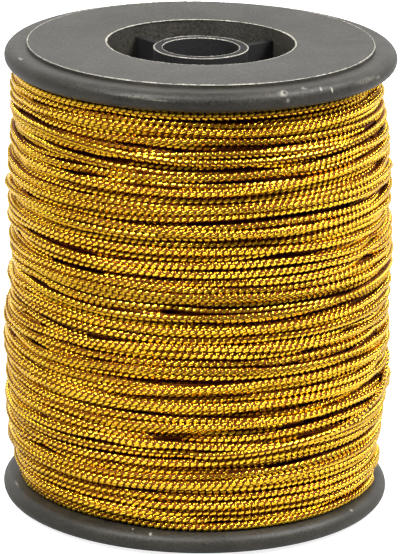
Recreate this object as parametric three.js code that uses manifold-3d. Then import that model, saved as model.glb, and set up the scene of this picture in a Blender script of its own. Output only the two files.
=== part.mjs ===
// A spool of metallic cord: a moulded plastic spool, wound to its rims with about
// sixty metres of thin braided cord. Lengths are in millimetres. The origin is at the
// centre of the bottom end face, +Z runs up the spool's axis, +X is to the right.
import * as THREE from "three";
import { mergeVertices } from "three/addons/utils/BufferGeometryUtils.js";
import Module from "manifold-3d";

const wasm = await Module();
wasm.setup();

// Spool
const spoolHeight = 60.7;
const flangeRadius = 25;
const endFaceRadius = 22.05;
const endFaceStep = 0.43; // the end face stands this far proud of the rim
const rimThickness = 2.55; // the rim's edge is a full round
const pocketRadius = 12.1;
const barrelWall = 1.2;
const hubRadius = 6.03;
const boreRadius = 4.87;
const hubSunk = 0.73; // below the end faces
const ribCount = 4;
const ribThickness = 1.1;
const ribSunk = 1.65;
const ribFirstAngle = Math.PI / 4;

// Wound cord
const clearance = 0.3;
const turnCount = 48;
const grooveDepth = 0.5;
const nominalWound = 24;
const turnWander = 0.42;
const wanderFade = 4; // turns lie straight this close to a flange

const roundSteps = 6;
const spoolSides = 72;
const hubSides = 48;
const woundSides = 42;

const channelBottom = endFaceStep + rimThickness;
const channelTop = spoolHeight - channelBottom;
const barrelRadius = pocketRadius + barrelWall;
const woundBottom = channelBottom + clearance;
const woundTop = channelTop - clearance;
const woundInner = barrelRadius + clearance;

const spoolPlastic = new THREE.MeshStandardMaterial({ color: 0x4b4945, roughness: 0.62, metalness: 0 });
const goldBraid = new THREE.MeshStandardMaterial({ color: 0xc8930f, roughness: 0.34, metalness: 0.8 });

// Radius over the outermost turns, on the right and on the left of the spool, up its height.
const woundOutline = [
  { height: 3.3, left: 22.5, right: 22.6 },
  { height: 4.5, left: 23.1, right: 23.5 },
  { height: 6.0, left: 23.4, right: 23.9 },
  { height: 7.5, left: 23.8, right: 24.0 },
  { height: 9.5, left: 24.2, right: 24.0 },
  { height: 12.0, left: 24.3, right: 24.2 },
  { height: 14.5, left: 24.5, right: 24.5 },
  { height: 17.0, left: 24.5, right: 24.8 },
  { height: 20.0, left: 24.7, right: 24.5 },
  { height: 23.3, left: 24.8, right: 24.9 },
  { height: 26.0, left: 24.4, right: 24.4 },
  { height: 28.3, left: 23.9, right: 24.5 },
  { height: 31.0, left: 24.2, right: 24.8 },
  { height: 33.3, left: 23.8, right: 24.8 },
  { height: 35.6, left: 24.2, right: 24.9 },
  { height: 38.3, left: 24.0, right: 24.3 },
  { height: 42.0, left: 24.6, right: 24.5 },
  { height: 44.5, left: 24.3, right: 24.4 },
  { height: 47.5, left: 24.4, right: 24.4 },
  { height: 49.0, left: 24.1, right: 24.1 },
  { height: 51.0, left: 23.8, right: 23.7 },
  { height: 53.0, left: 24.0, right: 23.4 },
  { height: 55.0, left: 24.1, right: 23.1 },
  { height: 57.5, left: 23.6, right: 22.7 },
];

// Main twists: bundles of turns that cross the others, and stand proud where they do.
// angle is where the bundle is highest, in degrees from +X, and climb its rise in
// height over one radian.
const crossings = [
  { angle: 248, height: 47.0, climb: 1.6, reach: 38, width: 1.3, rise: 0.3 },
  { angle: 300, height: 43.5, climb: 2.4, reach: 34, width: 1.2, rise: 0.26 },
  { angle: 225, height: 36.5, climb: -1.8, reach: 42, width: 1.4, rise: 0.26 },
  { angle: 318, height: 30.5, climb: 2.2, reach: 36, width: 1.3, rise: 0.28 },
  { angle: 262, height: 21.5, climb: -1.6, reach: 44, width: 1.5, rise: 0.24 },
  { angle: 326, height: 14.5, climb: 4.6, reach: 40, width: 1.1, rise: 0.34 },
  { angle: 232, height: 10.0, climb: -2.2, reach: 36, width: 1.2, rise: 0.26 },
  { angle: 70, height: 40.0, climb: 2.0, reach: 46, width: 1.4, rise: 0.28 },
  { angle: 128, height: 25.0, climb: -2.4, reach: 40, width: 1.3, rise: 0.28 },
  { angle: 92, height: 12.5, climb: 1.8, reach: 44, width: 1.3, rise: 0.24 },
];

// A closed three.js geometry as a solid that can be joined and cut.
function toSolid(geometry) {
  const bare = geometry.clone();
  bare.deleteAttribute("normal");
  bare.deleteAttribute("uv");
  const merged = mergeVertices(bare, 1e-4);
  return new wasm.Manifold(
    new wasm.Mesh({
      numProp: 3,
      vertProperties: merged.getAttribute("position").array,
      triVerts: new Uint32Array(merged.getIndex().array),
    }),
  );
}

// A solid back as a geometry with flat-shaded faces.
function toGeometry(solid) {
  const { vertProperties, triVerts } = solid.getMesh();
  const indexed = new THREE.BufferGeometry()
    .setAttribute("position", new THREE.BufferAttribute(vertProperties, 3))
    .setIndex(new THREE.BufferAttribute(triVerts, 1));
  const faceted = indexed.toNonIndexed();
  faceted.computeVertexNormals();
  return faceted;
}

// A ring turned about Z from the closed outline of its section, given as [radius, height] anticlockwise.
function turnedRing(outline, sides) {
  const points = [...outline, outline[0]].map(([radius, height]) => new THREE.Vector2(radius, height));
  return new THREE.LatheGeometry(points, sides).rotateX(Math.PI / 2);
}

// The full-round edge of a flange whose mid-plane is at the given height, from its underside to its top.
function rimEdge(middle) {
  const edge = rimThickness / 2;
  return Array.from({ length: roundSteps + 1 }, (_, step) => {
    const turn = Math.PI * (step / roundSteps - 0.5);
    return [flangeRadius - edge + edge * Math.cos(turn), middle + edge * Math.sin(turn)];
  });
}

// Both flanges and the barrel between them, open through the middle.
function flangedBarrel() {
  const lowRim = rimEdge(endFaceStep + rimThickness / 2);
  const highRim = rimEdge(spoolHeight - endFaceStep - rimThickness / 2);
  return turnedRing(
    [
      [pocketRadius, 0],
      [endFaceRadius, 0],
      [endFaceRadius, endFaceStep],
      ...lowRim,
      [barrelRadius, channelBottom],
      [barrelRadius, channelTop],
      ...highRim,
      [endFaceRadius, spoolHeight - endFaceStep],
      [endFaceRadius, spoolHeight],
      [pocketRadius, spoolHeight],
    ],
    spoolSides,
  );
}

// The tube in the middle, whose bore takes a spindle.
function hubTube() {
  return turnedRing(
    [
      [boreRadius, hubSunk],
      [hubRadius, hubSunk],
      [hubRadius, spoolHeight - hubSunk],
      [boreRadius, spoolHeight - hubSunk],
    ],
    hubSides,
  );
}

// One web between hub and barrel, run a little into both walls.
function rib(index) {
  const inner = (boreRadius + hubRadius) / 2;
  const outer = pocketRadius + barrelWall / 2;
  return new THREE.BoxGeometry(outer - inner, ribThickness, spoolHeight - 2 * ribSunk)
    .translate((inner + outer) / 2, 0, spoolHeight / 2)
    .rotateZ(ribFirstAngle + (index * 2 * Math.PI) / ribCount);
}

function spool() {
  const ribs = Array.from({ length: ribCount }, (_, index) => toSolid(rib(index)));
  return ribs.reduce((joined, web) => joined.add(web), toSolid(flangedBarrel()).add(toSolid(hubTube())));
}

// The outline's radius at an angle and height, run straight between the rows of its table.
function outlineRadius(angle, height) {
  const next = woundOutline.findIndex((row) => row.height >= height);
  const upper = next < 0 ? woundOutline.length - 1 : Math.max(next, 1);
  const [low, high] = [woundOutline[upper - 1], woundOutline[upper]];
  const share = THREE.MathUtils.clamp((height - low.height) / (high.height - low.height), 0, 1);
  const left = THREE.MathUtils.lerp(low.left, high.left, share);
  const right = THREE.MathUtils.lerp(low.right, high.right, share);
  return (left + right) / 2 + ((right - left) / 2) * Math.cos(angle);
}

// How far one crossing lifts the turns at an angle and height.
function lift(crossing, angle, height) {
  const turned = angle - THREE.MathUtils.degToRad(crossing.angle);
  const away = Math.atan2(Math.sin(turned), Math.cos(turned));
  const along = away / THREE.MathUtils.degToRad(crossing.reach);
  const across = (height - crossing.height - crossing.climb * away) / crossing.width;
  return crossing.rise * Math.exp(-along * along - across * across);
}

// Radius over the turns at an angle and height: the outline, and the crossings on it.
function woundRadius(angle, height) {
  const lifted = crossings.reduce((sum, crossing) => sum + lift(crossing, angle, height), 0);
  return outlineRadius(angle, height) + lifted;
}

// How far a turn strays up or down from its even place: nothing at the flanges.
function strayed(angle, height) {
  const fromFlange = Math.min(height - woundBottom, woundTop - height);
  const fade = THREE.MathUtils.smoothstep(fromFlange, 0, wanderFade);
  const waves = Math.sin(angle + height * 0.31) + 0.6 * Math.sin(2 * angle - height * 0.47 + 1);
  return turnWander * fade * waves;
}

// The wound cord: a ring with a crest and a groove for each turn, its points then set to the outline.
function woundCord() {
  const pitch = (woundTop - woundBottom) / turnCount;
  const turns = Array.from({ length: turnCount }, (_, turn) => [
    [nominalWound, woundBottom + (turn + 0.5) * pitch],
    [nominalWound - grooveDepth, woundBottom + (turn + 1) * pitch],
  ]).flat();
  const ring = turnedRing(
    [
      [woundInner, woundBottom],
      [nominalWound - grooveDepth, woundBottom],
      ...turns,
      [woundInner, woundTop],
    ],
    woundSides,
  );
  const position = ring.getAttribute("position");
  for (let index = 0; index < position.count; index++) {
    const [x, y, height] = [position.getX(index), position.getY(index), position.getZ(index)];
    const radius = Math.hypot(x, y);
    if (radius < (woundInner + nominalWound) / 2) continue;
    const angle = Math.atan2(y, x);
    const strayedHeight = height + strayed(angle, height);
    const set = woundRadius(angle, strayedHeight) + radius - nominalWound;
    position.setXYZ(index, set * Math.cos(angle), set * Math.sin(angle), strayedHeight);
  }
  return toSolid(ring);
}

function named(name, solid, material) {
  const mesh = new THREE.Mesh(toGeometry(solid), material);
  mesh.name = name;
  return mesh;
}

const cordSpool = new THREE.Group();
cordSpool.add(named("spool", spool(), spoolPlastic), named("wound_cord", woundCord(), goldBraid));

export default cordSpool;
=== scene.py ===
"""A moulded plastic spool wound full with knitted metallic cord. Lengths are in metres."""
import math

import bmesh
import bpy
import numpy as np
from bpy.props import FloatProperty, FloatVectorProperty, IntProperty, PointerProperty
from mathutils import Matrix, Vector


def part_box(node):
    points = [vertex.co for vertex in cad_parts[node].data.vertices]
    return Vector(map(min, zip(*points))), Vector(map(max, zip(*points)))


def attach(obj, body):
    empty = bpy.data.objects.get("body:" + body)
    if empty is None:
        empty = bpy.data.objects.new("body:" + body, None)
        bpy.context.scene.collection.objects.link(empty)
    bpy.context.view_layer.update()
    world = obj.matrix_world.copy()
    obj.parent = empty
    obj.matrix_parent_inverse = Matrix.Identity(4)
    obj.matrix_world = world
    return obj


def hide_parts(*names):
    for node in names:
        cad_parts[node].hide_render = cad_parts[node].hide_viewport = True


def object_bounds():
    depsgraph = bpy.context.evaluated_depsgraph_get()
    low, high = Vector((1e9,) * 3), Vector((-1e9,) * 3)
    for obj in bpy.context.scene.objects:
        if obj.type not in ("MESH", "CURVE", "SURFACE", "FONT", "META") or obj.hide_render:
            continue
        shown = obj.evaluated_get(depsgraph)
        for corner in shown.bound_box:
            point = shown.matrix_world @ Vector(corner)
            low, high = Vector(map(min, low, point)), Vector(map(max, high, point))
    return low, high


bl_info = {
    "name": "Spool of metallic cord",
    "version": (1, 0, 0),
    "blender": (4, 5, 0),
    "location": "3D View > Sidebar > Cord Spool",
    "description": "Models a moulded spool and the knitted metallic cord wound on it",
    "category": "Add Mesh",
}

MM = 0.001
FULL_TURN = 2 * math.pi

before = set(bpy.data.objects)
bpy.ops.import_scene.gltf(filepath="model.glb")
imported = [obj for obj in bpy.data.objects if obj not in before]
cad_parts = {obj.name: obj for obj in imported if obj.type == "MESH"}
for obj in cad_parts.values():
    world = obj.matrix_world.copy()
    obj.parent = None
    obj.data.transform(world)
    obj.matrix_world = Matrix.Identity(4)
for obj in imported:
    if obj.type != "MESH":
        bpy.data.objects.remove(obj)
CAD_LOW, CAD_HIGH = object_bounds()
SPOOL_LOW, SPOOL_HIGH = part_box("spool")
CORD_LOW, CORD_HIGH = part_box("wound_cord")
SPOOL_HEIGHT = SPOOL_HIGH.z - SPOOL_LOW.z
FLANGE_RADIUS = SPOOL_HIGH.x

# The channel between the flanges, to which the solid cord keeps a small gap
CORD_GAP = 0.3 * MM
CHANNEL_LOW = CORD_LOW.z - CORD_GAP
CHANNEL_HIGH = CORD_HIGH.z + CORD_GAP


def length_of(label, description, millimetres):
    """A length that a user may change."""
    return FloatProperty(name=label, description=description, default=millimetres * MM, unit="LENGTH")


def colour_of(label, description, colour):
    """A colour that a user may change."""
    return FloatVectorProperty(name=label, description=description, subtype="COLOR", default=colour)


def angle_of(label, description, degrees):
    """An angle that a user may change."""
    return FloatProperty(name=label, description=description, default=math.radians(degrees), subtype="ANGLE")


class SpoolSettings(bpy.types.PropertyGroup):
    """Sizes of the moulded spool that its box doesn't give."""

    disc_radius: length_of("Disc radius", "Radius of the raised end face", 22.05)
    disc_step: length_of("Disc step", "How far the end face stands over the rim", 0.43)
    rim_thickness: length_of("Rim thickness", "Thickness of the flange's round rim", 2.55)
    pocket_radius: length_of("Pocket radius", "Inner radius of the barrel", 12.1)
    barrel_wall: length_of("Barrel wall", "Thickness of the barrel", 1.2)
    lip: length_of("Lip", "Width of the slope round the mouth of the barrel", 0.15)
    hub_radius: length_of("Hub radius", "Outer radius of the hub tube", 6.03)
    bore_radius: length_of("Bore radius", "Radius of the hole for a spindle", 4.87)
    hub_sunk: length_of("Hub sunk", "Depth of the hub's end below the end face", 0.73)
    rib_thickness: length_of("Rib thickness", "Thickness of each rib between hub and barrel", 1.1)
    rib_sunk: length_of("Rib sunk", "Depth of the ribs below the end face", 1.65)
    ribs: IntProperty(name="Ribs", description="Ribs between hub and barrel", default=4)


class CordSettings(bpy.types.PropertyGroup):
    """Sizes of the cord and of its winding."""

    core_radius: length_of("Core radius", "Radius of the dark yarn inside the knitted tube", 0.38)
    half_width: length_of("Half width", "Half the width that one turn takes beside the next", 0.475)
    stitch_pitch: length_of("Stitch pitch", "Distance from one stitch to the next along the cord", 0.88)
    leg_length: length_of("Leg length", "Length of one leg of a stitch along the cord", 0.74)
    leg_width: length_of("Leg width", "Width of one leg of a stitch", 0.57)
    leg_height: length_of("Leg height", "How far a leg stands out of the core", 0.18)
    slant: angle_of("Slant", "How far each leg leans from the cord's own direction", 28)
    columns: IntProperty(name="Columns", description="Columns of stitches round the cord", default=2)
    layers: IntProperty(name="Layers", description="Outer layers of turns that are laid", default=4)
    turns: IntProperty(name="Turns in a layer", description="Turns laid from flange to flange", default=56)
    wander: length_of("Wander", "How far a turn strays from its even place as it is laid", 0.18)


class FinishSettings(bpy.types.PropertyGroup):
    """Colours of the cord and the plastic."""

    gold: colour_of("Gold", "Colour of the metallised yarn", (0.93, 0.6, 0.035))
    # Painted shade: the core's colour is a darkened gold that stands for the shade in the gaps between the
    # stitches and between the turns
    core: colour_of("Core", "Colour of the yarn between the stitches", (0.1, 0.026, 0.003))
    plastic: colour_of("Plastic", "Colour of the moulded spool", (0.0115, 0.0102, 0.0075))
    flash: colour_of("Flash", "Colour of thin torn edges of the plastic", (0.32, 0.3, 0.25))


class StudioSettings(bpy.types.PropertyGroup):
    """Where the camera stands."""

    distance: length_of("Camera distance", "From the middle of the spool to the camera", 533.9)
    elevation: angle_of("Camera elevation", "Height of the camera above the horizon", 17.12)
    azimuth: angle_of("Camera azimuth", "How far round to the right of the front the camera stands", 3)
    roll: angle_of("Camera roll", "How far the picture leans clockwise", 0.85)
    aim_right: length_of("Aim right", "How far right of the spool's middle the camera aims", 0.31)
    aim_down: length_of("Aim down", "How far below the spool's middle the camera aims", 0.9)


# Laying the cord

# The winding's surface is kept as a field: steps round the ring by heights in the channel
RING_STEPS = 720
HEIGHT_STEP = 0.05 * MM
HEIGHTS = np.arange(CHANNEL_LOW, CHANNEL_HIGH, HEIGHT_STEP)

# The cord is laid a stretch of ring steps at a time, and each settles together with some cord ahead of it
STRETCH = 360
LOOK_AHEAD = 240
END_SLACK = 0.03 * MM
LAYING_SEED = 7
# Strength and scale in ring steps of each wave in how a turn strays
WANDER_WAVES = ((1.6, 900), (0.8, 300))

# A stretch settles in rounds: it feels the slope beside it, slides, and is evened along its length
SETTLING_ROUNDS = 36
COARSE_ROUNDS = 12
COARSE_FEEL, COARSE_SLIDE = 0.6 * MM, 0.08 * MM
FINE_FEEL, FINE_SLIDE = 0.12 * MM, 0.06 * MM
EVENING = 18
TAIL = 19

# Ring steps over which a stretch leaves the place of the last one, and becomes free to slide
HEIGHT_FADE = 150
RADIUS_FADE = 10
SLIDE_FADE = 40

# A turn sinks a little between those under it, and bends over what is high within reach
SQUASH = 0.92
SOFT_BEND = 100.0
REACH = 24

# What a layer of turns adds to the radius, and how many of them the body lies under the outline
LAYER_RISE = 0.95 * MM
BODY_LAYERS = 3

# The laid turns follow the solid's outline broadly, over half widths in ring steps and heights
BROAD = (20, 16)
FITTING = (12, 16)
# They lie this far under the outline; a crest may stand as far over it, and keeps a share of the rest
CREST_ROOM = 0.18 * MM
PROUD_SHARE = 0.35


def ring_rows(angle):
    """The ring steps nearest to angles."""
    return np.round(angle * RING_STEPS / FULL_TURN).astype(int) % RING_STEPS


def look_up(field, rows, height):
    """Values of a field of ring steps by heights, between its columns."""
    place = np.clip((height - CHANNEL_LOW) / HEIGHT_STEP, 0, field.shape[1] - 1.001)
    low = place.astype(int)
    share = place - low
    return field[rows, low] * (1 - share) + field[rows, low + 1] * share


def smoothed(field, ring_width, height_width):
    """Running mean over a field, closed round the ring and held at its ends in height."""
    for width, axis, mode in ((ring_width, 0, "wrap"), (height_width, 1, "edge")):
        for _ in range(2):
            pad = [(0, 0), (0, 0)]
            pad[axis] = (width + 1, width)
            total = np.cumsum(np.pad(field, pad, mode=mode), axis=axis)
            count = field.shape[axis]
            upper = np.take(total, np.arange(2 * width + 1, 2 * width + 1 + count), axis=axis)
            lower = np.take(total, np.arange(count), axis=axis)
            field = (upper - lower) / (2 * width + 1)
    return field


def wound_form():
    """Radius over the turns of the wound solid, as a field of ring steps by heights."""
    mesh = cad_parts["wound_cord"].data
    points = np.zeros(len(mesh.vertices) * 3)
    mesh.vertices.foreach_get("co", points)
    points = np.unique(np.round(points.reshape(-1, 3), 7), axis=0)
    radius = np.hypot(points[:, 0], points[:, 1])
    outer = radius > (radius.min() + radius.max()) / 2
    points, radius = points[outer], radius[outer]
    angle = np.round(np.arctan2(points[:, 1], points[:, 0]) % FULL_TURN, 4)
    sides = np.unique(angle)
    rows = []
    for side in sides:
        on_side = angle == side
        order = np.argsort(points[on_side, 2])
        z, r = points[on_side, 2][order], radius[on_side][order]
        crest = np.r_[False, (r[1:-1] > r[:-2]) & (r[1:-1] > r[2:]), False]
        rows.append(np.interp(HEIGHTS, z[crest], r[crest]))
    rows = np.array(rows + rows[:1])
    sides = np.r_[sides, sides[0] + FULL_TURN]
    ring = sides[0] + (np.arange(RING_STEPS) * FULL_TURN / RING_STEPS - sides[0]) % FULL_TURN
    upper = np.clip(np.searchsorted(sides, ring, side="right"), 1, len(sides) - 1)
    share = ((ring - sides[upper - 1]) / (sides[upper] - sides[upper - 1]))[:, None]
    return rows[upper - 1] * (1 - share) + rows[upper] * share


def slow_noise(count, scale, rng):
    """Smooth random values along the cord, one knot to each scale of steps."""
    knots = rng.normal(0, 1, count // scale + 4)
    place = np.arange(count) / scale
    low = place.astype(int)
    t = place - low
    weights = ((1 - t) ** 3, 3 * t**3 - 6 * t**2 + 4, -3 * t**3 + 3 * t**2 + 3 * t + 1, t**3)
    return sum(weight * knots[low + index] for index, weight in enumerate(weights)) / 6


def summed_noise(count, waves, rng):
    """Slow noises added up, each given by its strength and its scale in ring steps."""
    return sum(strength * slow_noise(count, scale, rng) for strength, scale in waves)


def draped(radius, arc_step):
    """A soft cord over its supports: it can't bend outwards faster than it is limp."""
    padded = np.pad(radius, REACH, mode="edge")
    over = radius.copy()
    for shift in range(-REACH, REACH + 1):
        fall = 0.5 * SOFT_BEND * (arc_step * shift) ** 2
        over = np.maximum(over, padded[REACH + shift : REACH + shift + len(radius)] - fall)
    return over


def heights_near(height, reach):
    """Columns of the field within reach of each height, and how far they lie from it."""
    columns = int(reach / HEIGHT_STEP)
    centre = np.round((height - CHANNEL_LOW) / HEIGHT_STEP).astype(int)
    index = np.clip(centre[:, None] + np.arange(-columns, columns + 1), 0, len(HEIGHTS) - 1)
    return index, HEIGHTS[index] - height[:, None]


def press(rest, rows, height, radius, width):
    """Adds a laid stretch to what later turns rest on."""
    index, away = heights_near(height, width)
    over = radius[:, None] + SQUASH * np.sqrt(np.maximum(width**2 - away**2, 0))
    over[np.abs(away) > width] = 0
    rest[rows[:, None], index] = np.maximum(rest[rows[:, None], index], over)


def settled(rest, rows, line, behind, free, low, high):
    """Lets a stretch of cord slide off what is high into what is low, as far as its pull allows."""
    mean = np.ones(2 * EVENING + 1) / (2 * EVENING + 1)
    for step in range(SETTLING_ROUNDS):
        feel, slide = (COARSE_FEEL, COARSE_SLIDE) if step < COARSE_ROUNDS else (FINE_FEEL, FINE_SLIDE)
        slope = (look_up(rest, rows, line + feel) - look_up(rest, rows, line - feel)) / (2 * feel)
        line = line - slide * free * np.clip(slope, -1, 1)
        for _ in range(2):
            tail = line[-1] + (line[-1] - line[-1 - TAIL]) / TAIL * np.arange(1, EVENING + 1)
            line = np.convolve(np.concatenate([behind, line, tail]), mean, "valid")
        line = np.clip(line, low, high)
    return line


def lay_cord(form, cord):
    """Height and radius of the cord's middle, step by step, as it is wound to and fro over the body."""
    rng = np.random.default_rng(LAYING_SEED)
    rest = form - cord.layers * LAYER_RISE
    low = CHANNEL_LOW + cord.half_width + END_SLACK
    high = CHANNEL_HIGH - cord.half_width - END_SLACK
    total = cord.layers * cord.turns * RING_STEPS
    count = total + LOOK_AHEAD
    travel = np.arange(count) / (cord.turns * RING_STEPS) % 2
    even = low + (high - low) * np.where(travel < 1, travel, 2 - travel)
    even += cord.wander * summed_noise(count, WANDER_WAVES, rng)
    even = np.clip(even, low, high)
    height, radius = np.full(count, low), np.zeros(count)
    arc_step = form.mean() * FULL_TURN / RING_STEPS
    since = np.arange(STRETCH + LOOK_AHEAD)
    for begin in range(0, total, STRETCH):
        samples = begin + since
        rows = samples % RING_STEPS
        line = even[samples]
        behind = np.full(EVENING, even[0])
        free = np.ones(len(samples))
        if begin:
            line = line + (height[begin - 1] - even[begin]) * np.exp(-since / HEIGHT_FADE)
            known = np.linspace(1, 0, LOOK_AHEAD)
            line[:LOOK_AHEAD] = height[samples[:LOOK_AHEAD]] * known + line[:LOOK_AHEAD] * (1 - known)
            behind = height[begin - EVENING : begin]
            free = np.clip(since / SLIDE_FADE, 0, 1)
        line = settled(rest, rows, line, behind, free, low, high)
        over = draped(look_up(rest, rows, line), arc_step)
        if begin:
            over = over + (radius[begin - 1] - over[0]) * np.exp(-since / RADIUS_FADE)
        height[samples], radius[samples] = line, over
        press(rest, rows[:STRETCH], line[:STRETCH], over[:STRETCH], 2 * cord.half_width)
    return height[:total], radius[:total]


def surface_over(height, radius, half_width):
    """The outermost surface of all the laid turns, as a field of ring steps by heights."""
    surface = np.zeros((RING_STEPS, len(HEIGHTS)))
    rows = np.arange(RING_STEPS)[:, None]
    for begin in range(0, len(height), RING_STEPS):
        turn = slice(begin, begin + RING_STEPS)
        index, away = heights_near(height[turn], half_width)
        over = radius[turn][:, None] + np.sqrt(np.maximum(half_width**2 - away**2, 0))
        surface[rows, index] = np.maximum(surface[rows, index], over)
    return surface


def fitted_to_form(height, radius, form, half_width):
    """Moves the turns in or out until their broad surface is the form, and gives the surface too."""
    rows = np.arange(len(height)) % RING_STEPS
    body = form.min() - BODY_LAYERS * LAYER_RISE
    surface = np.maximum(surface_over(height, radius, half_width), body)
    shift = smoothed(form - smoothed(surface, *BROAD) - CREST_ROOM, *FITTING)
    radius = radius + look_up(shift, rows, height)
    crest = look_up(form, rows, height) - half_width + CREST_ROOM
    radius = np.where(radius > crest, crest + PROUD_SHARE * (radius - crest), radius)
    return radius, np.maximum(surface_over(height, radius, half_width), body)


# The cord as a path

PROBE = 0.1 * MM

# Strength and scale of each wave in how the cord turns about itself
MEAN_ROLL = 0.03
ROLL_WAVES = ((0.4, 700), (0.1, 90))
TWIST_SEED = 3

# Angle in degrees, height, and how far the cord's middle lies over the other turns in millimetres
LOOSE_TURN = (
    (-56.0, 13.6, -1.3),
    (-46.0, 14.4, -0.1),
    (-36.0, 15.1, 0.25),
    (-26.0, 16.1, 0.4),
    (-15.0, 17.6, 0.4),
    (-5.0, 19.0, 0.35),
    (3.0, 20.0, -0.1),
    (12.0, 21.0, -1.3),
)
LOOSE_EVENING = 7
LOOSE_BED = (20, 14)
LOOSE_ROLL = 1.5
LOOSE_ROLL_WAVES = ((0.4, 30),)


def unit_length(directions):
    """Directions brought to a length of one."""
    return directions / np.linalg.norm(directions, axis=-1, keepdims=True)


def about_axis(outwards, onwards, upwards, angle):
    """Places or directions at an angle about the spool's axis, from their parts outwards, onwards and up."""
    x = outwards * np.cos(angle) - onwards * np.sin(angle)
    y = outwards * np.sin(angle) + onwards * np.cos(angle)
    return np.stack([x, y, upwards], axis=-1)


class LaidCord:
    """The laid cord as a path: places and directions at any length along it."""

    def __init__(self, height, radius, roll, start_angle=0.0):
        self.angle = start_angle + np.arange(len(height)) * FULL_TURN / RING_STEPS
        self.height = height
        self.radius = radius
        self.roll = roll
        middle = (radius[1:] + radius[:-1]) / 2
        step = np.sqrt((middle * np.diff(self.angle)) ** 2 + np.diff(height) ** 2 + np.diff(radius) ** 2)
        self.length = np.concatenate([[0], np.cumsum(step)])

    def around(self, along):
        """Angle, height and radius at lengths along the cord."""
        return [np.interp(along, self.length, value) for value in (self.angle, self.height, self.radius)]

    def beside(self, along):
        """Angle, height and radius a little ahead of lengths along the cord, and a little behind them."""
        return self.around(along + PROBE), self.around(along - PROBE)

    def rolled(self, along):
        """How far the cord has turned about itself at lengths along it."""
        return np.interp(along, self.length, self.roll)

    def at(self, along, turn, out):
        """Points round the cord, by the angle about it from outwards and the distance from its middle."""
        angle, height, radius = self.around(along)
        ahead, behind = self.beside(along)
        climb = (ahead[1] - behind[1]) / (2 * PROBE)
        lift = (ahead[2] - behind[2]) / (2 * PROBE)
        outwards = out * np.cos(turn)
        upwards = out * np.sin(turn)
        onwards = -(outwards * lift + upwards * climb)
        return about_axis(radius + outwards, onwards, height + upwards, angle)

    def facing(self, along, turn, forward, sideways):
        """Unit directions out of the cord's side, leaning forward along it and sideways round it."""
        angle = self.around(along)[0]
        ahead, behind = self.beside(along)
        way = [ahead[2] - behind[2], ahead[2] * (ahead[0] - behind[0]), ahead[1] - behind[1]]
        leaning = forward[..., None] * unit_length(np.stack(way, axis=-1))
        outwards = np.cos(turn) - sideways * np.sin(turn) + leaning[..., 0]
        upwards = np.sin(turn) + sideways * np.cos(turn) + leaning[..., 2]
        return unit_length(about_axis(outwards, leaning[..., 1], upwards, angle))


def evened(values):
    """Running mean along a short stretch of cord, held at both ends."""
    mean = np.ones(2 * LOOSE_EVENING + 1) / (2 * LOOSE_EVENING + 1)
    return np.convolve(np.pad(values, LOOSE_EVENING, mode="edge"), mean, "valid")


def loose_turn(surface, rng):
    """A slack stretch of cord that lies across the turns and dives under them at both ends."""
    angle, height, over = np.array(LOOSE_TURN).T
    first, last = [round(end * RING_STEPS / 360) for end in angle[[0, -1]]]
    rows = np.arange(first, last)
    degrees = rows * 360 / RING_STEPS
    height, over = [evened(np.interp(degrees, angle, values)) * MM for values in (height, over)]
    bed = look_up(smoothed(surface, *LOOSE_BED), rows % RING_STEPS, height)
    roll = LOOSE_ROLL + summed_noise(len(rows), LOOSE_ROLL_WAVES, rng)
    return LaidCord(height, bed + over, roll, math.radians(degrees[0]))


# Meshes and pieces


def mesh_from_arrays(name, points, triangles, values, normals=None):
    """A smooth mesh from points and triangles, with named values and shading normals on its points."""
    mesh = bpy.data.meshes.new(name)
    mesh.vertices.add(len(points))
    mesh.vertices.foreach_set("co", points.astype(np.float32).ravel())
    mesh.loops.add(len(triangles) * 3)
    mesh.loops.foreach_set("vertex_index", triangles.astype(np.int32).ravel())
    mesh.polygons.add(len(triangles))
    mesh.polygons.foreach_set("loop_start", np.arange(0, len(triangles) * 3, 3, dtype=np.int32))
    mesh.polygons.foreach_set("use_smooth", np.ones(len(triangles), dtype=bool))
    for key, value in values.items():
        attribute = mesh.attributes.new(key, "FLOAT", "POINT")
        attribute.data.foreach_set("value", value.astype(np.float32).ravel())
    mesh.update(calc_edges=True)
    mesh.validate()
    if normals is not None:
        mesh.normals_split_custom_set_from_vertices(normals)
    return mesh


def shape_arrays(shape):
    """Points and triangles of a small bmesh, which is freed."""
    bmesh.ops.triangulate(shape, faces=shape.faces)
    bmesh.ops.recalc_face_normals(shape, faces=shape.faces)
    shape.verts.ensure_lookup_table()
    points = np.array([vertex.co[:] for vertex in shape.verts])
    triangles = np.array([[vertex.index for vertex in face.verts] for face in shape.faces])
    shape.free()
    return points, triangles


def smooth_mesh(name, shape, sharp_over=40):
    """A mesh from a bmesh, smooth but for its sharp corners."""
    mesh = bpy.data.meshes.new(name)
    for face in shape.faces:
        face.smooth = True
    shape.to_mesh(mesh)
    shape.free()
    mesh.set_sharp_from_angle(angle=math.radians(sharp_over))
    return mesh


def move_to_radius(vertex, radius):
    """Moves a vertex out or in to a radius from the axis."""
    scale = radius / math.hypot(vertex.co.x, vertex.co.y)
    vertex.co.x *= scale
    vertex.co.y *= scale


def in_place(name, mesh, material, replaced):
    """Puts a finished piece in the scene, on the body, in place of the solid that it refines."""
    piece = bpy.data.objects.new(name, mesh)
    bpy.context.scene.collection.objects.link(piece)
    mesh.materials.append(material)
    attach(piece, "root")
    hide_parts(replaced)


# Stitches and core

# What shows: how deep under the winding's surface a turn or a leg may lie, and over which part of a turn
SEEN_SIDES = (-0.85, -0.45, 0, 0.45, 0.85)
SEEN_DEPTH = 0.4 * MM
LEG_DEPTH = 0.64 * MM
FAR_SIDE = -0.3

# The core's sides, and the radius at its closed ends as a share of its own
CORE_SIDES = 5
CORE_TIP = 0.3

# A leg's corners as shares of half its length and width, and how far into the core its foot reaches
FOOT_LENGTH = 0.55
CREST_LENGTH = 0.7
CREST_WIDTH = 0.55
FOOT_DEPTH = 0.93

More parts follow.
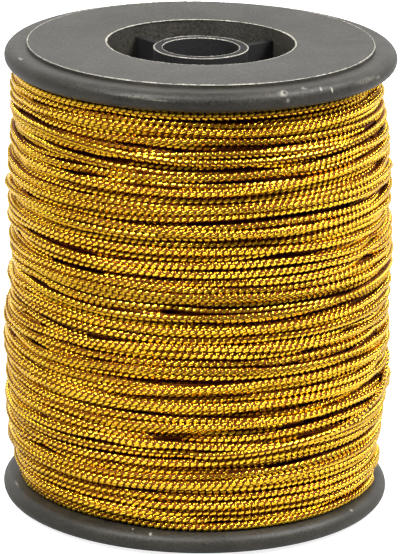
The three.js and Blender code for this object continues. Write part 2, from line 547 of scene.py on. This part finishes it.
# How legs differ in length and height, and in the way they face
LEG_LENGTHS = (0.92, 1.08)
LEG_HEIGHTS = (0.88, 1.12)
TILT = 0.03

# How far shading normals lean outwards over a leg's crest and at its foot, and turn with its width
CREST_SPREAD = 0.18
FOOT_SPREAD = 1.2
ROUNDNESS = 0.5

PIECE_TRIANGLES = 190_000


def seen_cells(path, surface, cord):
    """Which cells of the cord, each a stitch long, show at the winding's surface."""
    count = int(path.length[-1] / cord.stitch_pitch) - 1
    angle, height, radius = path.around((np.arange(count) + 0.5) * cord.stitch_pitch)
    rows = ring_rows(angle)
    seen = np.zeros(count, dtype=bool)
    for side in SEEN_SIDES:
        over = radius + cord.half_width * math.sqrt(1 - side**2)
        seen |= over > look_up(surface, rows, height + side * cord.half_width) - SEEN_DEPTH
    return np.convolve(seen, np.ones(3), "same") > 0


def core_arrays(path, seen, cord):
    """Tubes of core along each run of seen cells, closed at both ends."""
    edges = np.flatnonzero(np.diff(np.r_[False, seen, False].astype(int)))
    this = np.arange(CORE_SIDES)
    after = (this + 1) % CORE_SIDES
    points, triangles, count = [], [], 0
    for first, last in zip(edges[::2], edges[1::2]):
        along = np.arange(first, last + 1) * cord.stitch_pitch
        rings = path.at(along[:, None], this[None, :] * FULL_TURN / CORE_SIDES, cord.core_radius)
        tips = path.at(along[[0, -1]], np.full(2, np.pi), CORE_TIP * cord.core_radius)
        points += [rings.reshape(-1, 3), tips]
        base = np.arange(len(along) - 1)[:, None] * CORE_SIDES
        near, beside = base + this, base + after
        total = len(along) * CORE_SIDES
        end = total - CORE_SIDES
        first_tip, last_tip = np.full(CORE_SIDES, total), np.full(CORE_SIDES, total + 1)
        for corners in (
            (near, beside + CORE_SIDES, beside),
            (near, near + CORE_SIDES, beside + CORE_SIDES),
            (first_tip, this, after),
            (last_tip, end + after, end + this),
        ):
            triangles.append(np.stack(corners, axis=-1).reshape(-1, 3) + count)
        count += total + 2
    return np.concatenate(points), np.concatenate(triangles)


def stitch_leg():
    """One leg of a stitch, open below: x from -1 to 1 along it, y from -1 to 1 over its width and z out."""
    shape = bmesh.new()
    corners = ((-1, 0), (-FOOT_LENGTH, -1), (FOOT_LENGTH, -1), (1, 0), (FOOT_LENGTH, 1), (-FOOT_LENGTH, 1))
    foot = [shape.verts.new((x, y, 0)) for x, y in corners]
    ways = ((-1, -1), (1, -1), (1, 1), (-1, 1))
    crest = [shape.verts.new((CREST_LENGTH * x, CREST_WIDTH * y, 1)) for x, y in ways]
    shape.faces.new(crest)
    for half in (0, 1):
        tip, low, far, after = [foot[(3 * half + step) % 6] for step in (0, 1, 2, 5)]
        near, ahead, beyond = [crest[(2 * half + step) % 4] for step in (0, 1, 3)]
        shape.faces.new((low, far, ahead, near))
        shape.faces.new((tip, low, near))
        shape.faces.new((tip, near, beyond))
        shape.faces.new((after, tip, beyond))
    return shape_arrays(shape)


def stitch_places(path, seen, surface, cord):
    """Length along the cord, turn about it and leaning of each leg that shows."""
    cells = np.flatnonzero(seen)
    legs = 2 * cord.columns
    cell, leg = [grid.ravel() for grid in np.meshgrid(cells, np.arange(legs), indexing="ij")]
    along = (cell + 0.5 * (leg % 2)) * cord.stitch_pitch
    turn = (leg * FULL_TURN / legs + path.rolled(along) + np.pi) % FULL_TURN - np.pi
    angle, height, radius = path.around(along)
    reach = cord.core_radius + cord.leg_height
    top = look_up(surface, ring_rows(angle), height + reach * np.sin(turn))
    shown = (np.cos(turn) > FAR_SIDE) & (top - radius - reach * np.cos(turn) < LEG_DEPTH)
    return along[shown], turn[shown], np.where(leg < cord.columns, 1, -1)[shown]


def stitch_arrays(path, places, cord, rng):
    """Points, shading normals and tone of all the legs, a row for each, and the triangles of one."""
    unit, triangles = stitch_leg()
    unit = unit[None]
    along, turn, lean = [values[:, None] for values in places]
    full = cord.core_radius + cord.leg_height
    ahead = unit[..., 0] * cord.leg_length / 2 * rng.uniform(*LEG_LENGTHS, along.shape)
    across = lean * math.tan(cord.slant) * ahead + unit[..., 1] * cord.leg_width / 2
    height = cord.leg_height * rng.uniform(*LEG_HEIGHTS, along.shape)
    out = cord.core_radius * FOOT_DEPTH + unit[..., 2] * height
    points = path.at(along + ahead, turn + across / full, out)
    spread = np.where(unit[..., 2] > 0.5, CREST_SPREAD, FOOT_SPREAD)
    tilt = rng.normal(0, TILT, (2, *along.shape))
    forward = spread * unit[..., 0] + tilt[0]
    sideways = spread * unit[..., 1] + tilt[1]
    normals = path.facing(along + ahead, turn + ROUNDNESS * across / full, forward, sideways)
    return points, normals, rng.uniform(0, 1, len(along)), triangles


def joined_legs(name, points, normals, tone, triangles):
    """One mesh from rows of legs."""
    offsets = np.arange(len(points))[:, None, None] * points.shape[1]
    triangles = (triangles[None] + offsets).reshape(-1, 3)
    values = {"tone": np.repeat(tone, points.shape[1])}
    return mesh_from_arrays(name, points.reshape(-1, 3), triangles, values, normals.reshape(-1, 3))


# The body under the turns

INSIDE_GAP = 0.05 * MM
INSIDE_LEVELS = 130
INSIDE_DEPTH = 0.7 * MM
# The radius at which its outer side is spun, before each point is moved to its own
ROUGH_RADIUS = 0.75 * FLANGE_RADIUS
# Columns and ring steps within which the body stays under the lowest place of the surface
DIP_COLUMNS = range(-10, 11, 2)
DIP_STEPS = 3


def lowest_near(surface):
    """The lowest that the winding's surface gets close to each place."""
    lowest = surface
    for shift in DIP_COLUMNS:
        lowest = np.minimum(lowest, np.roll(surface, shift, axis=1))
    beside = np.minimum(np.roll(lowest, DIP_STEPS, axis=0), np.roll(lowest, -DIP_STEPS, axis=0))
    return np.minimum(lowest, beside)


def inside_shape(surface, wall):
    """The body of the winding just under the turns that show."""
    low, high = CHANNEL_LOW + INSIDE_GAP, CHANNEL_HIGH - INSIDE_GAP
    levels = np.linspace(low, high, INSIDE_LEVELS)
    shape = spun([(wall, low)] + [(ROUGH_RADIUS, level) for level in levels] + [(wall, high)])
    under = lowest_near(surface) - INSIDE_DEPTH
    for vertex in shape.verts:
        if vertex.co.xy.length > (ROUGH_RADIUS + wall) / 2:
            row = ring_rows(math.atan2(vertex.co.y, vertex.co.x))
            move_to_radius(vertex, look_up(under, row, vertex.co.z))
    return shape


# The spool

SPIN_STEPS = 300
MERGE_DISTANCE = 1e-7

# The mouth's lip: where its slope starts and its rounded part, as shares of its width
LIP_SLOPE = 1.4
LIP_ROUND = 0.6
# The disc's edge, the corner between flange and barrel, and the edges of hub and ribs
DISC_FACE, DISC_DROP, DISC_FOOT = 0.06 * MM, 0.08 * MM, 0.04 * MM
CORNER = 0.3 * MM
ROUND_EDGE = 0.12 * MM
RIB_ROOT = 0.2 * MM

# Thin torn edges: a ridge of jags that rise and fall in broad waves
FLASH_STEPS = 1000
FLASH_JAGS = 640
WAVE_JAGS = 40
WAVE_HEIGHTS = (0.35, 1.0)
JAG_POWER = 0.7
# Shares of the ridge's width and rise that the lowest jag has, and that the highest has more
JAG_WIDTH, JAG_WIDER = 0.4, 1.1
JAG_RISE, JAG_HIGHER = -0.15, 1.3
FLASH_ROOT = 0.05 * MM
FLASH_SEED = 11


def arc(centre, radius, start, end, steps):
    """Points on a round stretch of an outline, by degrees from outwards and up."""
    angles = np.radians(np.linspace(start, end, steps))
    return [(centre[0] + radius * math.cos(a), centre[1] + radius * math.sin(a)) for a in angles]


def spun(outline, steps=SPIN_STEPS):
    """A closed outline of radius and height, turned once round the axis."""
    shape = bmesh.new()
    points = [shape.verts.new((radius, 0, height)) for radius, height in outline]
    edges = [shape.edges.new(pair) for pair in zip(points, points[1:] + points[:1])]
    axis = {"cent": (0, 0, 0), "axis": (0, 0, 1), "angle": FULL_TURN}
    bmesh.ops.spin(shape, geom=points + edges, steps=steps, use_merge=True, **axis)
    bmesh.ops.remove_doubles(shape, verts=shape.verts, dist=MERGE_DISTANCE)
    bmesh.ops.recalc_face_normals(shape, faces=shape.faces)
    return shape


def barrel_outline(spool):
    """Section of the barrel with both flanges, whose lower end mirrors the upper one."""
    top = SPOOL_HEIGHT
    disc, step, lip = spool.disc_radius, spool.disc_step, spool.lip
    half = spool.rim_thickness / 2
    inside = spool.pocket_radius
    outside = inside + spool.barrel_wall
    under = top - step - spool.rim_thickness
    end = [(inside, top - LIP_SLOPE * lip)]
    end += arc((inside + lip, top - lip * LIP_ROUND), lip * LIP_ROUND, 150, 90, 4)
    end += [(disc - DISC_FACE, top), (disc, top - DISC_DROP), (disc + DISC_FOOT, top - step)]
    end += arc((FLANGE_RADIUS - half, top - step - half), half, 90, -90, 19)
    end += [(outside + CORNER, under), (outside, under - CORNER)]
    upper = [(inside, top / 2)] + end + [(outside, top / 2)]
    lower = [(radius, top - height) for radius, height in reversed(end)]
    return upper + lower


def hub_outline(spool):
    """Section of the hub's wall."""
    low, high = spool.hub_sunk + ROUND_EDGE, SPOOL_HEIGHT - spool.hub_sunk - ROUND_EDGE
    inner, outer = spool.bore_radius + ROUND_EDGE, spool.hub_radius - ROUND_EDGE
    section = []
    for index, centre in enumerate(((outer, high), (inner, high), (inner, low), (outer, low))):
        section += arc(centre, ROUND_EDGE, 90 * index, 90 * index + 90, 3)
    return section


def rib_shape(spool, angle):
    """One rib between hub and barrel."""
    shape = bmesh.new()
    inner = spool.hub_radius - RIB_ROOT
    outer = spool.pocket_radius + RIB_ROOT
    height = SPOOL_HEIGHT - 2 * spool.rib_sunk
    bmesh.ops.create_cube(shape, size=1)
    bmesh.ops.scale(shape, verts=shape.verts, vec=(outer - inner, spool.rib_thickness, height))
    bmesh.ops.translate(shape, verts=shape.verts, vec=((inner + outer) / 2, 0, SPOOL_HEIGHT / 2))
    bmesh.ops.bevel(
        shape, geom=shape.edges[:], offset=ROUND_EDGE, segments=2, profile=0.5, affect="EDGES", material=-1
    )
    bmesh.ops.rotate(shape, verts=shape.verts, matrix=Matrix.Rotation(angle, 3, "Z"))
    return shape


def flash_shape(radius, height, width, rise, seed):
    """A thin jagged ridge round an edge of the spool."""
    root = height - FLASH_ROOT
    outline = [(radius - width / 2, root), (radius + width / 2, root), (radius, height + rise)]
    shape = spun(outline, FLASH_STEPS)
    rng = np.random.default_rng(seed)
    waves = rng.uniform(*WAVE_HEIGHTS, FLASH_JAGS // WAVE_JAGS + 2)
    broad = np.interp(np.arange(FLASH_JAGS) / WAVE_JAGS, np.arange(len(waves)), waves)
    jags = broad * rng.uniform(0.0, 1.0, FLASH_JAGS) ** JAG_POWER
    jags[-1] = jags[0]
    places = np.linspace(0, FULL_TURN, FLASH_JAGS)
    for vertex in shape.verts:
        amount = np.interp(math.atan2(vertex.co.y, vertex.co.x) % FULL_TURN, places, jags)
        away = math.hypot(vertex.co.x, vertex.co.y) - radius
        move_to_radius(vertex, radius + away * (JAG_WIDTH + JAG_WIDER * amount))
        if vertex.co.z > height:
            vertex.co.z = height + rise * (JAG_RISE + JAG_HIGHER * amount)
    return shape


# Materials

FOIL_SCALE = 300.0
FOIL_ROUGHNESS = (0.12, 0.22)
# Shares of the gold's red, green and blue in its dullest stitches
DULL_GOLD = (0.85, 0.76, 0.6)

YARN_SCALE = 2500.0
YARN_PALE = 1.6

FINE_SCALE = 3200.0
BROAD_SCALE = 260.0
GRAIN_DEPTH = 0.035 * MM
PLASTIC_DIM, PLASTIC_PALE = 0.3, 2.4
PLASTIC_ROUGHNESS = (0.42, 0.6)
# Painted shade: within this distance of the barrel's inner wall, and all the way inside it, the plastic's
# colour goes to black
POCKET_SHADE_FADE = 0.2 * MM
INSIDE_ROUGHER = 0.25
FLASH_DIM = 0.3

# Share of a mark's size within which it is full, and beyond which it is gone
WEAR_AND_HIGHLIGHT_FADE = (0.25, 1.1)
# Angle in degrees; radius, height, and half sizes along the rim, outwards and upwards in millimetres;
# and strength of each mark. The small specks, scuffs and scratches are rubbed wear, and the long thin
# streaks along the rim's shoulder are painted highlight.
WEAR_AND_HIGHLIGHT_MARKS = (
    (-62.8, 24.6, 59.9, 0.75, 0.6, 0.5, 0.5),
    (-61.6, 25.0, 59.0, 0.32, 0.5, 0.3, 0.6),
    (-50.2, 24.7, 59.8, 0.22, 0.5, 0.3, 0.7),
    (-46.5, 24.9, 59.5, 0.18, 0.5, 0.4, 0.9),
    (-55.5, 24.2, 60.1, 0.5, 0.4, 0.2, 0.4),
    (-106.4, 24.9, 59.5, 3.6, 0.6, 0.2, 0.22),
    (-99.0, 24.9, 59.3, 2.2, 0.6, 0.1, 0.3),
    (-31.0, 24.9, 59.5, 2.6, 0.6, 0.4, 0.2),
    (-24.7, 24.9, 59.3, 0.5, 0.6, 0.25, 0.4),
    (-156.5, 24.0, 60.2, 0.8, 0.5, 0.08, 0.5),
    (-99.9, 24.3, 2.8, 0.22, 0.5, 0.2, 0.7),
    (-105.9, 23.7, 3.0, 0.18, 0.3, 0.3, 0.6),
    (-31.6, 24.4, 2.8, 0.25, 0.4, 0.25, 0.6),
    (-161.7, 23.9, 3.0, 1.4, 0.2, 0.2, 0.4),
    (8.1, 12.8, 60.7, 0.09, 0.8, 0.2, 0.5),
    (9.7, 19.4, 60.7, 0.08, 0.7, 0.2, 0.4),
)


class Nodes:
    """Short calls that add nodes to a tree and link them."""

    def __init__(self, tree):
        self.tree = tree

    def feed(self, node, inputs):
        """Sets or links a node's inputs, by name or number."""
        for key, value in inputs.items():
            if isinstance(value, bpy.types.NodeSocket):
                self.tree.links.new(value, node.inputs[key])
            else:
                node.inputs[key].default_value = value

    def add(self, kind, inputs=(), **settings):
        """A node of a kind, with its settings and inputs."""
        node = self.tree.nodes.new(kind)
        for key, value in settings.items():
            setattr(node, key, value)
        self.feed(node, dict(inputs))
        return node

    def math(self, operation, *values):
        """A math node's result."""
        return self.add("ShaderNodeMath", enumerate(values), operation=operation).outputs[0]

    def vector(self, operation, *values):
        """A vector math node's result, which is a number for a length or a dot product."""
        node = self.add("ShaderNodeVectorMath", enumerate(values), operation=operation)
        return node.outputs["Value" if operation in ("LENGTH", "DOT_PRODUCT") else "Vector"]

    def noise(self, vector, scale, detail=2.0):
        """A noise texture's value at a vector."""
        node = self.add("ShaderNodeTexNoise", {"Vector": vector, "Scale": scale, "Detail": detail})
        return node.outputs["Fac"]

    def ranged(self, value, low, high, to_low=0.0, to_high=1.0):
        """A value moved from one range to another, and kept in it."""
        numbers = {"Value": value, "From Min": low, "From Max": high, "To Min": to_low, "To Max": to_high}
        return self.add("ShaderNodeMapRange", numbers).outputs[0]

    def mixed(self, share, first, second):
        """A colour between two others, each a socket or three numbers."""
        inputs = {0: share}
        for number, value in ((6, first), (7, second)):
            inputs[number] = value if isinstance(value, bpy.types.NodeSocket) else (*value, 1)
        return self.add("ShaderNodeMix", inputs, data_type="RGBA").outputs[2]


def new_material(name):
    """A material with its Principled shader, as its nodes, the shader and the place of the point shaded."""
    material = bpy.data.materials.new(name)
    material.use_nodes = True
    nodes = Nodes(material.node_tree)
    shader = material.node_tree.nodes["Principled BSDF"]
    place = nodes.add("ShaderNodeTexCoord").outputs["Object"]
    return material, nodes, shader, place


def scaled(colour, amount):
    """A colour made paler or darker."""
    return tuple(value * amount for value in colour)


def gold_material(finish):
    """Metallised yarn: bright foil that varies a little from stitch to stitch."""
    material, nodes, shader, place = new_material("gold_foil")
    tone = nodes.add("ShaderNodeAttribute", attribute_name="tone").outputs["Fac"]
    share = nodes.math("MULTIPLY", nodes.ranged(nodes.noise(place, FOIL_SCALE), 0.3, 0.7), tone)
    dull = tuple(value * amount for value, amount in zip(finish.gold, DULL_GOLD))
    nodes.feed(shader, {
        "Base Color": nodes.mixed(share, dull, finish.gold),
        "Roughness": nodes.ranged(tone, 0.0, 1.0, *FOIL_ROUGHNESS),
        "Metallic": 1.0,
    })
    return material


def core_material(finish):
    """Yarn inside the knitted tube, coloured a darkened gold as painted shade in the gaps between the
    stitches.
    """
    material, nodes, shader, place = new_material("core_yarn")
    share = nodes.ranged(nodes.noise(place, YARN_SCALE, 3.0), 0.35, 0.7)
    nodes.feed(shader, {
        "Base Color": nodes.mixed(share, finish.core, scaled(finish.core, YARN_PALE)),
        "Roughness": 0.55,
        "Metallic": 0.8,
        "Specular IOR Level": 0.2,
    })
    return material


def grain_group():
    """Fine and broad unevenness of moulded plastic, shared by its materials."""
    group = bpy.data.node_groups.new("moulded_grain", "ShaderNodeTree")
    group.interface.new_socket("Vector", in_out="INPUT", socket_type="NodeSocketVector")
    group.interface.new_socket("Fine", in_out="OUTPUT", socket_type="NodeSocketFloat")
    group.interface.new_socket("Broad", in_out="OUTPUT", socket_type="NodeSocketFloat")
    nodes = Nodes(group)
    place = nodes.add("NodeGroupInput").outputs["Vector"]
    fine = nodes.ranged(nodes.noise(place, FINE_SCALE, 3.0), 0.3, 0.7)
    broad = nodes.ranged(nodes.noise(place, BROAD_SCALE, 4.0), 0.3, 0.7)
    nodes.add("NodeGroupOutput", {"Fine": fine, "Broad": broad})
    return group


def shared_grain():
    """The one group of grain nodes, made when it is first asked for."""
    return bpy.data.node_groups.get("moulded_grain") or grain_group()


def wear_and_highlight_mask(nodes, place):
    """Radius of the point shaded, and how pale the plastic is made there by rubbed wear and painted
    highlight.
    """
    split = nodes.add("ShaderNodeSeparateXYZ", {0: place})
    x, y, height = [split.outputs[axis] for axis in "XYZ"]
    squares = [nodes.math("MULTIPLY", value, value) for value in (x, y)]
    radius = nodes.math("SQRT", nodes.math("ADD", *squares))
    rim_length = nodes.math("MULTIPLY", nodes.math("ARCTAN2", y, x), FLANGE_RADIUS)
    rim_place = nodes.add("ShaderNodeCombineXYZ", {0: rim_length, 1: radius, 2: height}).outputs[0]
    total = None
    for angle, radial, high, along, out, tall, strength in WEAR_AND_HIGHLIGHT_MARKS:
        middle = (math.radians(angle) * FLANGE_RADIUS, radial * MM, high * MM)
        reach = tuple(1 / (size * MM) for size in (along, out, tall))
        away = nodes.vector("MULTIPLY", nodes.vector("SUBTRACT", rim_place, middle), reach)
        mark = nodes.ranged(nodes.vector("LENGTH", away), *WEAR_AND_HIGHLIGHT_FADE, strength, 0.0)
        total = mark if total is None else nodes.math("MAXIMUM", total, mark)
    return radius, total


def plastic_material(finish, grain, pocket_radius):
    """Moulded plastic with a fine grain, rubbed marks and painted highlight streaks on the rim, turned black
    inside the barrel as painted shade, and rougher there.
    """
    material, nodes, shader, place = new_material("spool_plastic")
    uneven = nodes.add("ShaderNodeGroup", {"Vector": place}, node_tree=grain)
    fine, broad = uneven.outputs["Fine"], uneven.outputs["Broad"]
    share = nodes.math("ADD", nodes.math("MULTIPLY", fine, 0.6), nodes.math("MULTIPLY", broad, 0.4))
    dim, pale = [scaled(finish.plastic, amount) for amount in (PLASTIC_DIM, PLASTIC_PALE)]
    # Pale marks: rubbed wear, and painted highlight streaks along the rim's shoulder
    radius, wear_and_highlight = wear_and_highlight_mask(nodes, place)
    # Painted shade in the recess: everything inside the barrel is coloured black, and is also made rougher
    inside = nodes.ranged(radius, pocket_radius - POCKET_SHADE_FADE, pocket_radius, 1.0, 0.0)
    colour = nodes.mixed(inside, nodes.mixed(share, dim, pale), (0.0, 0.0, 0.0))
    wear_and_highlight = nodes.math("MULTIPLY", wear_and_highlight, nodes.ranged(fine, 0.1, 0.6))
    rough = nodes.ranged(fine, 0.0, 1.0, *PLASTIC_ROUGHNESS)
    bump = nodes.add("ShaderNodeBump", {"Height": fine, "Strength": 0.6, "Distance": GRAIN_DEPTH})
    nodes.feed(shader, {
        "Base Color": nodes.mixed(wear_and_highlight, colour, finish.flash),
        "Roughness": nodes.math("ADD", rough, nodes.math("MULTIPLY", inside, INSIDE_ROUGHER)),
        "Specular IOR Level": 0.25,
        "Normal": bump.outputs[0],
    })
    return material


def flash_material(finish, grain):
    """Thin torn plastic, paler than the rest."""
    material, nodes, shader, place = new_material("torn_plastic")
    uneven = nodes.add("ShaderNodeGroup", {"Vector": place}, node_tree=grain)
    broad = nodes.math("ADD", uneven.outputs["Broad"], 0.3)
    share = nodes.math("MULTIPLY", uneven.outputs["Fine"], broad)
    nodes.feed(shader, {
        "Base Color": nodes.mixed(share, scaled(finish.flash, FLASH_DIM), finish.flash),
        "Roughness": 0.7,
    })
    return material


# The studio

LENS = 268.6
SENSOR = 36
FLOOR_HALF = 3.0
FLOOR_FRONT = 0.13
FLOOR_DROP = 0.01 * MM
FLOOR_GREY = (0.43, 0.43, 0.43, 1)
FLOOR_SEEN = (0.85, 0.85, 0.85, 1)

# Name, azimuth and elevation in degrees, width and height in metres, and brightness of each soft box
BOX_DISTANCE = 1.2
SOFT_BOXES = (
    ("back_left", -150, 54, 0.6, 0.3, 7.0),
    ("back_right", 154, 54, 0.6, 0.3, 5.0),
    ("front_left", -34, 50, 0.7, 0.22, 62.0),
    ("front_right", 80, 48, 0.8, 0.22, 58.0),
)

# The world's brightness everywhere, low down at the sides and low down behind; the camera's side stays dark
WORLD_DARK = 0.14
WORLD_LOW = 0.36
WORLD_BEHIND = 1.5
CAMERA_SIDE = (0.34, -0.94, 0)
# Between these parts of the way to the camera's side, up, and back, each of them fades
SIDES_FADE, LOW_FADE = (0.55, 0.9), (0.6, 0.85)
BEHIND_FADE, BEHIND_LOW_FADE = (0.0, 0.6), (0.45, 0.75)


def steered(azimuth, elevation):
    """Direction from the spool towards an azimuth, from the front round to the right, and an elevation."""
    flat = math.cos(elevation)
    return Vector((math.sin(azimuth) * flat, -math.cos(azimuth) * flat, math.sin(elevation)))


def add_camera(studio, middle):
    """The camera at the photograph's angle."""
    back = steered(studio.azimuth, studio.elevation)
    right = Vector((math.cos(studio.azimuth), math.sin(studio.azimuth), 0))
    up = back.cross(right)
    camera = bpy.data.objects.new("camera", bpy.data.cameras.new("camera"))
    camera.data.lens = LENS
    camera.data.sensor_width = SENSOR
    turned = Matrix((right, up, back)).transposed() @ Matrix.Rotation(studio.roll, 3, "Z")
    camera.matrix_world = turned.to_4x4()
    camera.location = middle + right * studio.aim_right - up * studio.aim_down + back * studio.distance
    bpy.context.scene.collection.objects.link(camera)
    bpy.context.scene.camera = camera


def add_light(middle, name, azimuth, elevation, width, height, radiance):
    """A soft box that faces the spool."""
    back = steered(math.radians(azimuth), math.radians(elevation))
    data = bpy.data.lights.new(name, "AREA")
    data.shape = "RECTANGLE"
    data.size = width
    data.size_y = height
    data.energy = radiance * math.pi * width * height
    light = bpy.data.objects.new(name, data)
    light.location = middle + back * BOX_DISTANCE
    light.rotation_euler = back.to_track_quat("Z", "Y").to_euler()
    light.visible_camera = False
    bpy.context.scene.collection.objects.link(light)


def add_world():
    """White to the camera; to the spool, dark in front and above, and bright at the sides and behind."""
    world = bpy.data.worlds.new("studio")
    bpy.context.scene.world = world
    world.use_nodes = True
    world.node_tree.nodes.clear()
    nodes = Nodes(world.node_tree)
    way = nodes.add("ShaderNodeTexCoord").outputs["Generated"]
    split = nodes.add("ShaderNodeSeparateXYZ", {0: way})
    height = split.outputs["Z"]
    sides = nodes.ranged(nodes.vector("DOT_PRODUCT", way, CAMERA_SIDE), *SIDES_FADE, 1.0, 0.0)
    sides = nodes.math("MULTIPLY", nodes.ranged(height, *LOW_FADE, WORLD_LOW, 0.0), sides)
    behind = nodes.ranged(split.outputs["Y"], *BEHIND_FADE, 0.0, WORLD_BEHIND)
    behind = nodes.math("MULTIPLY", behind, nodes.ranged(height, *BEHIND_LOW_FADE, 1.0, 0.0))
    glow = nodes.math("ADD", nodes.math("MAXIMUM", sides, behind), WORLD_DARK)
    seen = nodes.add("ShaderNodeLightPath").outputs["Is Camera Ray"]
    strength = nodes.math("MAXIMUM", glow, seen)
    background = nodes.add("ShaderNodeBackground", {"Color": (1, 1, 1, 1), "Strength": strength})
    nodes.add("ShaderNodeOutputWorld", {"Surface": background.outputs[0]})


def add_floor():
    """A plain floor, white to the camera and grey to the spool."""
    shape = bmesh.new()
    bmesh.ops.create_grid(shape, x_segments=1, y_segments=1, size=FLOOR_HALF)
    mesh = bpy.data.meshes.new("floor")
    shape.to_mesh(mesh)
    shape.free()
    floor = bpy.data.objects.new("floor", mesh)
    floor.location = (0, FLOOR_HALF - FLOOR_FRONT, CAD_LOW.z - FLOOR_DROP)
    bpy.context.scene.collection.objects.link(floor)
    material, nodes, shader, _ = new_material("pale_floor")
    nodes.feed(shader, {
        "Base Color": FLOOR_GREY,
        "Roughness": 0.9,
        "Specular IOR Level": 0.1,
        "Emission Color": FLOOR_SEEN,
        "Emission Strength": nodes.add("ShaderNodeLightPath").outputs["Is Camera Ray"],
    })
    mesh.materials.append(material)


# Operators


class CORDSPOOL_OT_spool(bpy.types.Operator):
    """Makes the moulded spool: barrel with flanges, hub and ribs"""

    bl_idname = "cordspool.spool"
    bl_label = "Spool"

    def execute(self, context):
        spool = context.scene.cordspool_spool
        plastic = plastic_material(context.scene.cordspool_finish, shared_grain(), spool.pocket_radius)
        shapes = {"barrel": spun(barrel_outline(spool)), "hub": spun(hub_outline(spool))}
        for index in range(spool.ribs):
            shapes[f"rib_{index + 1}"] = rib_shape(spool, (index + 0.5) * FULL_TURN / spool.ribs)
        for name, shape in shapes.items():
            in_place(name, smooth_mesh(name, shape), plastic, "spool")
        return {"FINISHED"}


class CORDSPOOL_OT_flash(bpy.types.Operator):
    """Makes the thin torn edges that moulding left on the spool"""

    bl_idname = "cordspool.flash"
    bl_label = "Flash"

    def execute(self, context):
        spool = context.scene.cordspool_spool
        torn = flash_material(context.scene.cordspool_finish, shared_grain())
        hub_top = SPOOL_HEIGHT - spool.hub_sunk
        # Name, radius, height, and width and rise in millimetres
        ridges = (
            ("flash_disc", spool.disc_radius, SPOOL_HEIGHT, 0.2, 0.12),
            ("flash_mouth", spool.pocket_radius, SPOOL_HEIGHT - 0.02 * MM, 0.3, 0.06),
            ("flash_hub_outer", spool.hub_radius - 0.08 * MM, hub_top, 0.22, 0.1),
            ("flash_hub_inner", spool.bore_radius + 0.08 * MM, hub_top, 0.16, 0.06),
        )
        for index, (name, radius, height, width, rise) in enumerate(ridges):
            shape = flash_shape(radius, height, width * MM, rise * MM, FLASH_SEED + index)
            in_place(name, smooth_mesh(name, shape), torn, "spool")
        return {"FINISHED"}


class CORDSPOOL_OT_winding(bpy.types.Operator):
    """Winds the cord: a body under the turns, dark with painted shade, the core of each turn that shows and
    its stitches
    """

    bl_idname = "cordspool.winding"
    bl_label = "Winding"

    def execute(self, context):
        cord = context.scene.cordspool_cord
        spool = context.scene.cordspool_spool
        yarn = core_material(context.scene.cordspool_finish)
        gold = gold_material(context.scene.cordspool_finish)
        rng = np.random.default_rng(TWIST_SEED)
        form = wound_form()
        height, radius = lay_cord(form, cord)
        radius, surface = fitted_to_form(height, radius, form, cord.half_width)
        roll = summed_noise(len(height), ROLL_WAVES, rng) + MEAN_ROLL

        cores, stitches, count = [], [], 0
        for path in (LaidCord(height, radius, roll), loose_turn(surface, rng)):
            seen = seen_cells(path, surface, cord)
            points, triangles = core_arrays(path, seen, cord)
            cores.append((points, triangles + count))
            count += len(points)
            stitches.append(stitch_arrays(path, stitch_places(path, seen, surface, cord), cord, rng))
        points, triangles = [np.concatenate(parts) for parts in zip(*cores)]
        mesh = mesh_from_arrays("cord_core", points, triangles, {})
        in_place("cord_core", mesh, yarn, "wound_cord")

        triangles = stitches[0][-1]
        legs, normals, tone = [np.concatenate(parts) for parts in list(zip(*stitches))[:3]]
        upwards = np.argsort(legs[:, 0, 2], kind="stable")
        bands = math.ceil(len(legs) * len(triangles) / PIECE_TRIANGLES)
        for index, chosen in enumerate(np.array_split(upwards, bands)):
            name = f"stitches_{index + 1}"
            mesh = joined_legs(name, legs[chosen], normals[chosen], tone[chosen], triangles)
            in_place(name, mesh, gold, "wound_cord")

        wall = spool.pocket_radius + spool.barrel_wall + INSIDE_GAP
        mesh = smooth_mesh("cord_inside", inside_shape(surface, wall))
        # The body under the turns takes the core's darkened yarn, as painted shade in the gaps between turns
        in_place("cord_inside", mesh, yarn, "wound_cord")
        return {"FINISHED"}


class CORDSPOOL_OT_studio(bpy.types.Operator):
    """Sets the pale floor, the soft light and the camera"""

    bl_idname = "cordspool.studio"
    bl_label = "Studio"

    def execute(self, context):
        middle = Vector((0, 0, (CAD_LOW.z + CAD_HIGH.z) / 2))
        add_floor()
        add_world()
        for box in SOFT_BOXES:
            add_light(middle, *box)
        add_camera(context.scene.cordspool_studio, middle)
        context.scene.view_settings.view_transform = "Standard"
        return {"FINISHED"}


class CORDSPOOL_PT_panel(bpy.types.Panel):
    """Sizes and colours of the spool and its cord, and what makes each piece"""

    bl_label = "Cord Spool"
    bl_space_type = "VIEW_3D"
    bl_region_type = "UI"
    bl_category = "Cord Spool"

    def draw(self, context):
        layout = self.layout
        for name, (group, operators) in GROUPS.items():
            box = layout.box()
            for key in group.__annotations__:
                box.prop(getattr(context.scene, name), key)
            for operator in operators:
                box.operator(operator.bl_idname)


# Each group of settings by its name in the scene, with the operators that use it
GROUPS = {
    "cordspool_spool": (SpoolSettings, (CORDSPOOL_OT_spool, CORDSPOOL_OT_flash)),
    "cordspool_cord": (CordSettings, (CORDSPOOL_OT_winding,)),
    "cordspool_finish": (FinishSettings, ()),
    "cordspool_studio": (StudioSettings, (CORDSPOOL_OT_studio,)),
}
CLASSES = (
    *[group for group, _ in GROUPS.values()],
    *[operator for _, operators in GROUPS.values() for operator in operators],
    CORDSPOOL_PT_panel,
)


def register():
    """Adds the settings, operators and panel."""
    for part in CLASSES:
        bpy.utils.register_class(part)
    for name, (group, _) in GROUPS.items():
        setattr(bpy.types.Scene, name, PointerProperty(type=group))


def unregister():
    """Takes them away again."""
    for name in GROUPS:
        delattr(bpy.types.Scene, name)
    for part in reversed(CLASSES):
        bpy.utils.unregister_class(part)


def main():
    """Makes every piece and the studio."""
    register()
    bpy.ops.cordspool.spool()
    bpy.ops.cordspool.flash()
    bpy.ops.cordspool.winding()
    bpy.ops.cordspool.studio()


if __name__ == "__main__":
    main()
